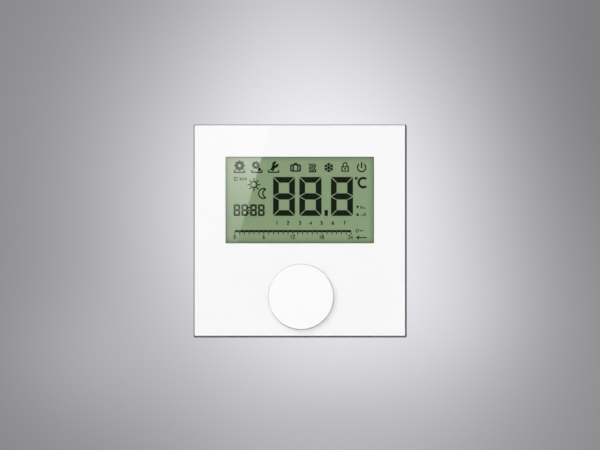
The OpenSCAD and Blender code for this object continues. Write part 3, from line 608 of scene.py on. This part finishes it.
timeBar = {
    "ends": (-26.3, 20.75), "hours": 24, "foot": -13.02, "top": -12.1, "gap": 0.06,
    "tickFoot": -13.95, "tickTop": -12.97, "tickWidth": 0.3,
}
hourStep = (timeBar["ends"][1] - timeBar["ends"][0]) / timeBar["hours"]
hourPlaces = timeBar["ends"][0] + hourStep * np.arange(timeBar["hours"] + 1)
blockPlaces, blockWidth = hourPlaces[:-1] + hourStep / 2, hourStep - timeBar["gap"]
inkPiece("time_bar", [uprightBar(x, blockWidth, timeBar["foot"], timeBar["top"])
                      for x in blockPlaces], inkDark)
inkPiece("time_ticks", [uprightBar(x, timeBar["tickWidth"], timeBar["tickFoot"], timeBar["tickTop"])
                        for x in hourPlaces], inkFine)

hourRow = {
    "foot": -15.66, "height": 1.42, "line": 0.32, "pitch": 1.0,
    "nudges": {0: 0.0, 6: 0.0, 12: -0.1, 18: -0.2, 24: -0.25},  # mm beside each hour's tick
}
hourNumerals = []
for hour, nudge in hourRow["nudges"].items():
    figures = [int(figure) for figure in str(hour)]
    for order, figure in enumerate(figures):
        centre = hourPlaces[hour] + nudge + (order - (len(figures) - 1) / 2) * hourRow["pitch"]
        hourNumerals += numeral(figure, centre, hourRow)
inkPiece("hour_numerals", hourNumerals, inkFine)

dayRow = {"centres": (-9.3, -4.75, 0.0, 4.5, 8.85, 13.4, 18.1), "foot": -9.88, "height": 1.3, "line": 0.36}
dayNumerals = []
for day, centre in enumerate(dayRow["centres"], start=1):
    dayNumerals += numeral(day, centre, dayRow)
inkPiece("day_numerals", dayNumerals, inkFine)


# pictograms: two cogs and a spanner, each on a tray
iconRow = {
    "cog": {"centre": (-24.34, 13.92), "radius": 2.24, "hole": 0.62, "teeth": 8, "tray": (-26.42, -22.34)},
    "smallCog": {"centre": (-17.78, 14.12), "radius": 1.74, "hole": 0.44, "teeth": 9,
                 "tray": (-19.47, -15.3)},
    "pointsPerTooth": 8, "toothSwing": 0.12,
    "stud": (-16.37, 12.4), "studRadius": 0.72,
    "spanner": {"jaw": (-9.9, 14.32), "radius": 0.8, "jawEnds": (72, 378), "jawLine": 1.06,
                "grip": (-11.4, 11.92), "neck": (-10.4, 13.6), "gripLine": 1.42, "tray": (-12.62, -8.53)},
    "trayFoot": 11.24, "trayRise": 0.92, "traySlant": 0.06, "trayLine": 0.54,
}


def cogWheel(look):
    # between a round hole and a rim whose radius swings as a cosine of the angle times the
    # number of teeth
    angle = evenAngles(look["teeth"] * iconRow["pointsPerTooth"])
    swing = iconRow["toothSwing"] * np.cos(look["teeth"] * angle)
    rim = look["radius"] * (1 - iconRow["toothSwing"] + swing)[:, None]
    unit = unitAt(angle)
    return stripBetween(look["centre"] + unit * rim, look["centre"] + unit * look["hole"], True)


def tray(left, right):
    # a line along a flat foot with a steep side at each end
    foot, rise, slant = iconRow["trayFoot"], iconRow["trayRise"], iconRow["traySlant"]
    path = [(left, foot + rise), (left + slant, foot), (right - slant, foot), (right, foot + rise)]
    return stroke(path, iconRow["trayLine"])


def roundedBox(left, right, foot, top, corner):
    # the four corners' quarter circles, run through in turn
    quarters = (((right - corner, top - corner), 0), ((left + corner, top - corner), 90),
                ((left + corner, foot + corner), 180), ((right - corner, foot + corner), 270))
    return np.vstack([arc(centre, corner, start, start + 90, count=6) for centre, start in quarters])


spanner = iconRow["spanner"]
settingMarks = [disc(iconRow["stud"], iconRow["studRadius"], count=4)]
settingMarks += [cogWheel(iconRow[mark]) for mark in ("cog", "smallCog")]
settingMarks += [tray(*iconRow[mark]["tray"]) for mark in ("cog", "smallCog", "spanner")]
settingMarks += [stroke([spanner["grip"], spanner["neck"]], spanner["gripLine"]),
                 stroke(arc(spanner["jaw"], spanner["radius"], *spanner["jawEnds"]), spanner["jawLine"])]
inkPiece("setting_marks", settingMarks, inkDark)

suitcase = {
    "box": (-3.66, 0.23, 11.7, 14.2), "corner": 0.45, "line": 0.52,
    "straps": (-2.62, -0.83), "strapWidth": 0.5, "ribs": (-3.14, -0.3), "ribWidth": 0.2,
    "handle": (-2.4, -1.05, 14.8), "handleSlant": 0.35, "handleLine": 0.55,
}
left, right, foot, top = suitcase["box"]
handleLeft, handleRight, handleTop = suitcase["handle"]
handlePath = [(handleLeft, top), (handleLeft + suitcase["handleSlant"], handleTop),
              (handleRight - suitcase["handleSlant"], handleTop), (handleRight, top)]
travelMarks = [stroke(roundedBox(left, right, foot, top, suitcase["corner"]), suitcase["line"], True),
               stroke(handlePath, suitcase["handleLine"])]
travelMarks += [uprightBar(x, suitcase["strapWidth"], foot, top) for x in suitcase["straps"]]
travelMarks += [uprightBar(x, suitcase["ribWidth"], foot, top) for x in suitcase["ribs"]]
inkPiece("holiday_mark", travelMarks, inkDark)

heating = {
    "lines": (4.14, 5.1, 6.06), "foot": 11.6, "top": 14.75, "line": 0.5, "points": 28,
    "swing": 0.34, "crest": 13.8, "bend": 1.8,     # a wave's reach, a crest's height and the wavelength
    "base": (3.62, 6.6, 11.2, 11.66),
}
rise = np.linspace(heating["foot"], heating["top"], heating["points"])
wave = heating["swing"] * np.cos((rise - heating["crest"]) * 2 * np.pi / heating["bend"])
warmMarks = [stroke(np.stack([x + wave, rise], 1), heating["line"]) for x in heating["lines"]]
warmMarks.append(bar(*heating["base"]))
inkPiece("heating_mark", warmMarks, inkDark)

frost = {"centre": np.array((11.71, 13.12)), "arms": 6, "firstArm": 30, "reach": 1.9, "line": 0.45,
         "barbAt": 0.5, "barb": 0.64}
frostMarks = []
for arm in range(frost["arms"]):
    along = unitAt(math.radians(frost["firstArm"] + 360 / frost["arms"] * arm))
    across = np.array((-along[1], along[0]))
    root = frost["centre"] + along * frost["reach"] * frost["barbAt"]
    frostMarks.append(stroke([frost["centre"], frost["centre"] + along * frost["reach"]], frost["line"]))
    frostMarks.append(stroke([root + (along + across) * frost["barb"], root,
                              root + (along - across) * frost["barb"]], frost["line"]))
inkPiece("frost_mark", frostMarks, inkDark)

padlock = {"box": (17.0, 19.6, 11.68, 13.46), "shackle": 0.78, "shackleTop": 15.08, "line": 0.46,
           "keyhole": (18.28, 12.6), "keyholeRadius": 0.42}
left, right, foot, top = padlock["box"]
lockMiddle, bow = (left + right) / 2, padlock["shackle"]
shackle = np.vstack([[(lockMiddle - bow, top)],
                     arc((lockMiddle, padlock["shackleTop"] - bow), bow, 180, 0, count=14),
                     [(lockMiddle + bow, top)]])
inkPiece("lock_mark", [
    stroke([(left, foot), (right, foot), (right, top), (left, top)], padlock["line"], True),
    stroke(shackle, padlock["line"]),
    disc(padlock["keyhole"], padlock["keyholeRadius"], count=10),
], inkFine)

power = {"centre": (24.96, 13.16), "radius": 1.68, "ends": (125, 415), "line": 0.52,
         "bar": (12.94, 15.24), "barWidth": 0.6}
inkPiece("power_mark", [
    stroke(arc(power["centre"], power["radius"], *power["ends"], count=34), power["line"]),
    uprightBar(power["centre"][0], power["barWidth"], *power["bar"]),
], inkDark)

sun = {"centre": np.array((-18.55, 6.23)), "radius": 1.25, "line": 0.56,
       "rays": 8, "rayEnds": (1.7, 2.55), "rayLine": 0.52}
sunMarks = [ring(sun["centre"], sun["radius"], sun["line"])]
for along in unitAt(evenAngles(sun["rays"])):
    sunMarks.append(stroke([sun["centre"] + along * end for end in sun["rayEnds"]], sun["rayLine"]))
inkPiece("day_mark", sunMarks, inkFine)

# a crescent between two arcs: centre, radius and the angles at its ends
moon = {"outer": ((-14.65, 2.65), 1.98, 62, 298), "inner": ((-13.2, 2.65), 1.72, 105, 255), "line": 0.56}
inkPiece("night_mark", [
    stroke(arc(*moon["outer"], count=30), moon["line"]),
    stroke(arc(*moon["inner"], count=20), moon["line"]),
], inkFine)

# plain marks in the places of words: a loop and arrowheads, level bars, a target and a return arrow
loopMark = {"centre": (-25.85, 8.5), "radius": 0.64, "ends": (60, 350), "line": 0.34,
            "tip": (-25.35, 9.05), "tipSize": (0.8, 0.6),
            "arrowheads": (-24.35, -23.3, -22.25), "arrowReach": 0.7, "arrowHeights": (9.1, 8.53, 7.96)}
levelMarks = {"fallingAt": -2.9, "risingAt": -5.72, "triangleAt": 23.35, "triangleSize": (1.35, 1.25),
              "firstBar": 24.75, "barPitch": 0.82, "barWidth": 0.44, "tall": (0.4, 0.8, 1.2),
              "footBelow": 0.62}
targetMark = {"centre": (23.2, -12.4), "radius": 0.58, "line": 0.3, "dash": (24.3, 25.5, -12.62, -12.2)}
returnMark = {"shaft": (23.4, 27.1, -15.35, -14.95), "line": 0.36,
              "head": [(24.05, -14.45), (23.0, -15.15), (24.05, -15.85)]}
wordMarks = [stroke(arc(loopMark["centre"], loopMark["radius"], *loopMark["ends"], count=20),
                    loopMark["line"]),
             triangle(loopMark["tip"], *loopMark["tipSize"])]
high, middle, low = loopMark["arrowHeights"]
wordMarks += [stroke([(x, high), (x + loopMark["arrowReach"], middle), (x, low)], loopMark["line"])
              for x in loopMark["arrowheads"]]
for height, rising in ((levelMarks["fallingAt"], False), (levelMarks["risingAt"], True)):
    wordMarks.append(triangle((levelMarks["triangleAt"], height), *levelMarks["triangleSize"], rising))
    foot = height - levelMarks["footBelow"]
    for order, tall in enumerate(sorted(levelMarks["tall"], reverse=not rising)):
        x = levelMarks["firstBar"] + levelMarks["barPitch"] * order
        wordMarks.append(uprightBar(x, levelMarks["barWidth"], foot, foot + tall))
wordMarks += [ring(targetMark["centre"], targetMark["radius"], targetMark["line"], count=20),
              bar(*targetMark["dash"]), bar(*returnMark["shaft"]),
              stroke(returnMark["head"], returnMark["line"])]
inkPiece("plain_marks", wordMarks, inkFine)

# a dark ink line round the window: painted shade, standing in for the shadow that the mask's edge casts on
# the field
maskShade = {"width": 0.3, "colour": (0.150, 0.184, 0.124)}
maskShadeInk = mouldedPlastic("maskShadeInk", maskShade["colour"], 0.5, 0.4, 0.001, 0.05, 0.2)
square = np.array([(-1, -1), (1, -1), (1, 1), (-1, 1)])
halfWindow = np.array(displayField["window"]) / 2
maskShadeStrip = stripBetween(square * halfWindow, square * (halfWindow - maskShade["width"]), True)
inkPiece("display_mask_shade", [maskShadeStrip], maskShadeInk)
print("display ink done")

# backdrop, floor, camera and lamps
camera = {
    "lens": 1180.0, "sensor": 36.0,                    # mm
    "frameWidth": 242.3, "aim": (0.1, 2.2),            # mm, on the face
    "offset": (58.8, -84.0),                           # mm, how far aside and below the aim it stands
    "clipEnd": 60.0,                                   # metres
}
distance = camera["frameWidth"] * mm * camera["lens"] / camera["sensor"]
aim = np.array((camera["aim"][0] * mm, faceFront, camera["aim"][1] * mm))
eye = aim + np.array((camera["offset"][0] * mm, -distance, camera["offset"][1] * mm))


def turnToward(thing, place, target):
    # turns a camera or lamp, which look along their own -z, from place to target: the tilt is the
    # angle between straight down and the way ahead, and the turn is the way ahead's bearing
    forward = np.asarray(target) - place
    thing.location = place
    thing.rotation_euler = (math.atan2(math.hypot(forward[0], forward[1]), -forward[2]), 0,
                            math.atan2(-forward[0], forward[1]))


cameraData = bpy.data.cameras.new("camera")
cameraData.lens = camera["lens"]
cameraData.sensor_width = camera["sensor"]
cameraData.clip_end = camera["clipEnd"]
cameraObject = bpy.data.objects.new("camera", cameraData)
turnToward(cameraObject, eye, aim)
bpy.context.scene.collection.objects.link(cameraObject)
bpy.context.scene.camera = cameraObject

backdrop = {
    "behind": 0.9, "size": (3.2, 2.4),                 # metres
    "dark": 0.235,
    # painted pools of light, and of shade where the strength is below nought
    "patches": [                                       # mm, as seen on the face's plane
        {"strength": 0.735, "centre": (18, 10), "reach": (86, 95)},
        {"strength": -0.20, "centre": (91, 35), "reach": (65, 85)},
        {"strength": 0.065, "centre": (-89, -52), "reach": (35, 29)},
        {"strength": 0.057, "centre": (64, -37), "reach": (31, 26)},
        {"strength": 0.08, "centre": (-8, 138), "reach": (34, 73)},
        {"strength": -0.035, "centre": (14, -75), "reach": (33, 15)},
    ],
    "tint": (0.990, 0.982, 1.028),
    "fill": 0.88, "inGloss": 0.08,                     # its brightness as light and in reflections
}
floorSheet = {
    "below": 0.128, "near": -1.6, "cloudWidth": 0.06,  # metres
    "shade": 0.82, "uneven": 0.02, "lift": 0.3,        # lift is how much paler the camera sees it
    "roughness": 0.8, "specular": 0.1,
}
wallY = backdrop["behind"]
onWall = (wallY - eye[1]) / distance  # how much wider the wall is seen than the face


def flatSheet(name, corners, material):
    # one face between four corners, which stands round the object and isn't part of it
    corners = [tuple(float(c) for c in corner) for corner in corners]
    sheet = newPiece(name, corners, [(0, 1, 2, 3)], material)
    return sheet


def clearFromBehind(tree, shader, output):
    # a sheet that shows from its front only, so that it never hides the object
    backfacing = addNode(tree, "ShaderNodeNewGeometry").outputs["Backfacing"]
    clear = addNode(tree, "ShaderNodeBsdfTransparent").outputs[0]
    mixShaders(tree, backfacing, shader, clear, output)


def softPatch(tree, place, patch):
    # a painted pool of light, or of shade where strength is below nought: strength times e to the minus
    # squared distance from the centre, each axis over its reach
    mapping = addNode(tree, "ShaderNodeMapping")
    scale = [1 / (reach * mm * onWall) for reach in patch["reach"]]
    centre = [eye[k] + (patch["centre"][k // 2] * mm - eye[k]) * onWall for k in (0, 2)]
    mapping.inputs["Location"].default_value = (-centre[0] * scale[0], 0, -centre[1] * scale[1])
    mapping.inputs["Scale"].default_value = (scale[0], 0, scale[1])
    tree.links.new(place, mapping.inputs["Vector"])
    length = addNode(tree, "ShaderNodeVectorMath", operation="LENGTH")
    tree.links.new(mapping.outputs[0], length.inputs[0])
    squared = mathNode(tree, "POWER", length.outputs["Value"], 2.0)
    fall = mathNode(tree, "EXPONENT", mathNode(tree, "MULTIPLY", squared, -1.0))
    return mathNode(tree, "MULTIPLY", fall, patch["strength"])


def wallFinish(look):
    # a darker wall with painted pools of light and shade, shown to the camera as painted; it lights the
    # object's sides and back evenly, shows dark in their gloss, and from behind it is clear
    material, tree = newMaterial("backdropPaint")
    place = objectPlace(tree)
    shade = look["dark"]
    for patch in look["patches"]:
        shade = mathNode(tree, "ADD", softPatch(tree, place, patch), shade)
    paint = mixColours(tree, 1.0, shade, look["tint"], "MULTIPLY")
    path = addNode(tree, "ShaderNodeLightPath")
    seen = mathNode(tree, "MAXIMUM", path.outputs["Is Camera Ray"], path.outputs["Is Transmission Ray"])
    shown = addNode(tree, "ShaderNodeEmission")
    unseen = mixColours(tree, path.outputs["Is Glossy Ray"], grey(look["fill"]), grey(look["inGloss"]))
    tree.links.new(mixColours(tree, seen, unseen, paint), shown.inputs["Color"])
    clearFromBehind(tree, shown.outputs[0], addNode(tree, "ShaderNodeOutputMaterial"))
    return material


def floorFinish(look):
    # matt and a little cloudy; a glow of its own shade, which only the camera sees, makes it paler
    material, tree = newMaterial("floorPaint")
    clouds = noise(tree, objectPlace(tree), look["cloudWidth"], detail=2.0)
    shade = mixColours(tree, clouds, grey(look["shade"]), grey(look["shade"] * (1 + look["uneven"])))
    shader, output = shaderNode(tree, shade, look["roughness"], Specular_IOR_Level=look["specular"])
    tree.links.new(shade, shader.inputs["Emission Color"])
    seen = addNode(tree, "ShaderNodeLightPath").outputs["Is Camera Ray"]
    tree.links.new(mathNode(tree, "MULTIPLY", look["lift"], seen), shader.inputs["Emission Strength"])
    material.cycles.emission_sampling = "NONE"
    clearFromBehind(tree, shader.outputs[0], output)
    return material


left, right, near = -backdrop["size"][0] / 2, backdrop["size"][0] / 2, floorSheet["near"]
floorZ = -floorSheet["below"]
wallTop = floorZ + backdrop["size"][1]
flatSheet("backdrop_wall", [(left, wallY, floorZ), (right, wallY, floorZ),
                            (right, wallY, wallTop), (left, wallY, wallTop)], wallFinish(backdrop))
flatSheet("floor_sheet", [(left, near, floorZ), (right, near, floorZ),
                          (right, wallY, floorZ), (left, wallY, floorZ)], floorFinish(floorSheet))

lamps = {  # place and size in metres, power in watts
    "keyUpperLeft": {"place": (-0.24, -1.92, 0.24), "size": (0.65, 0.65), "power": 6.9},
    "frontBroad": {"place": (0.0, -2.30, 0.0), "size": (0.9, 0.9), "power": 5.3},
    "frontNarrow": {"place": (0.0, -2.30, 0.0), "size": (0.16, 0.16), "power": 27.6},
    "rearLeft": {"place": (-0.55, 0.70, 0.45), "size": (0.5, 0.5), "power": 1.0},
}
for name, lamp in lamps.items():
    light = bpy.data.lights.new(name, "AREA")
    light.shape = "RECTANGLE"
    light.size, light.size_y = lamp["size"]
    light.energy = lamp["power"]
    lightObject = bpy.data.objects.new(name, light)
    lightObject.visible_glossy = False        # only the softbox sheet shows in the glossy face,
    lightObject.visible_transmission = False  # and in the display through the clear pane
    turnToward(lightObject, np.array(lamp["place"]), faceCentre)
    bpy.context.scene.collection.objects.link(lightObject)

# the softbox that the glossy face mirrors, cut off on a slant and fading downwards, with a black
# flag behind it; places are in mm as seen on the face, where a fade has nothing at its first place
# and is whole at its second
softbox = {
    "corners": [(-60.0, 60.0), (-6.7, 60.0), (-27.94, -14.0), (-60.0, -14.0)],
    "before": 2.0,                                     # metres from the face
    "upFade": (-12.8, 30.0), "sideFade": (-70.0, -20.0),
    "strength": 1.11, "tint": (1.0, 0.96, 0.97),
}
flag = {"reach": 110.0, "behind": 0.01, "shade": 0.002, "cloudWidth": 0.005, "roughness": 0.9}


def mirrored(across, up):
    # the place that the camera sees mirrored at a spot of the face: the spot's offset from the
    # camera times one plus the softbox's distance over the camera's
    reach = 1 + softbox["before"] / distance
    return (eye[0] + (across * mm - eye[0]) * reach, faceFront - softbox["before"],
            eye[2] + (up * mm - eye[2]) * reach)


def glowFinish(look):
    # strength times the upward fade times the sideways fade
    material, tree = newMaterial("softboxGlow")
    parts = addNode(tree, "ShaderNodeSeparateXYZ")
    tree.links.new(objectPlace(tree), parts.inputs[0])
    glow = addNode(tree, "ShaderNodeEmission")
    feed(tree, glow.inputs["Color"], look["tint"])
    upPlaces = [mirrored(0, height)[2] for height in look["upFade"]]
    sidePlaces = [mirrored(across, 0)[0] for across in look["sideFade"]]
    upFade = mapRange(tree, parts.outputs["Z"], upPlaces, (0.0, look["strength"]))
    sideFade = mapRange(tree, parts.outputs["X"], sidePlaces, (0.0, 1.0))
    tree.links.new(mathNode(tree, "MULTIPLY", upFade, sideFade), glow.inputs["Strength"])
    output = addNode(tree, "ShaderNodeOutputMaterial")
    tree.links.new(glow.outputs[0], output.inputs["Surface"])
    return material


def flagFinish(look):
    # black cloth, without any gloss
    material, tree = newMaterial("blackFlag")
    clouds = noise(tree, objectPlace(tree), look["cloudWidth"])
    shade = mixColours(tree, clouds, grey(look["shade"]), grey(look["shade"] * 2))
    shaderNode(tree, shade, look["roughness"], Specular_IOR_Level=0.0)
    return material


for name, corners, material, back in (
        ("softbox_sheet", softbox["corners"], glowFinish(softbox), 0.0),
        ("flag_sheet", square * flag["reach"], flagFinish(flag), flag["behind"])):
    corners = [mirrored(*corner) for corner in corners]
    sheet = flatSheet(name, [(x, y - back, z) for x, y, z in corners], material)
    sheet.visible_camera = False
    sheet.visible_diffuse = False
    sheet.visible_shadow = False

ambient = {"light": 0.14, "seen": 0.86}                # as light, and as the camera sees it
world = bpy.data.worlds.new("studio")
bpy.context.scene.world = world
world.use_nodes = True
worldTree = world.node_tree
worldTree.nodes.clear()
seenPath = addNode(worldTree, "ShaderNodeLightPath")
background = addNode(worldTree, "ShaderNodeBackground")
feed(worldTree, background.inputs["Color"], grey(1.0))
worldTree.links.new(mapRange(worldTree, seenPath.outputs["Is Camera Ray"], (0.0, 1.0),
                             (ambient["light"], ambient["seen"])), background.inputs["Strength"])
worldOutput = addNode(worldTree, "ShaderNodeOutputWorld")
worldTree.links.new(background.outputs[0], worldOutput.inputs["Surface"])

bpy.context.scene.view_settings.view_transform = "Standard"
print("stage, camera and lamps done")
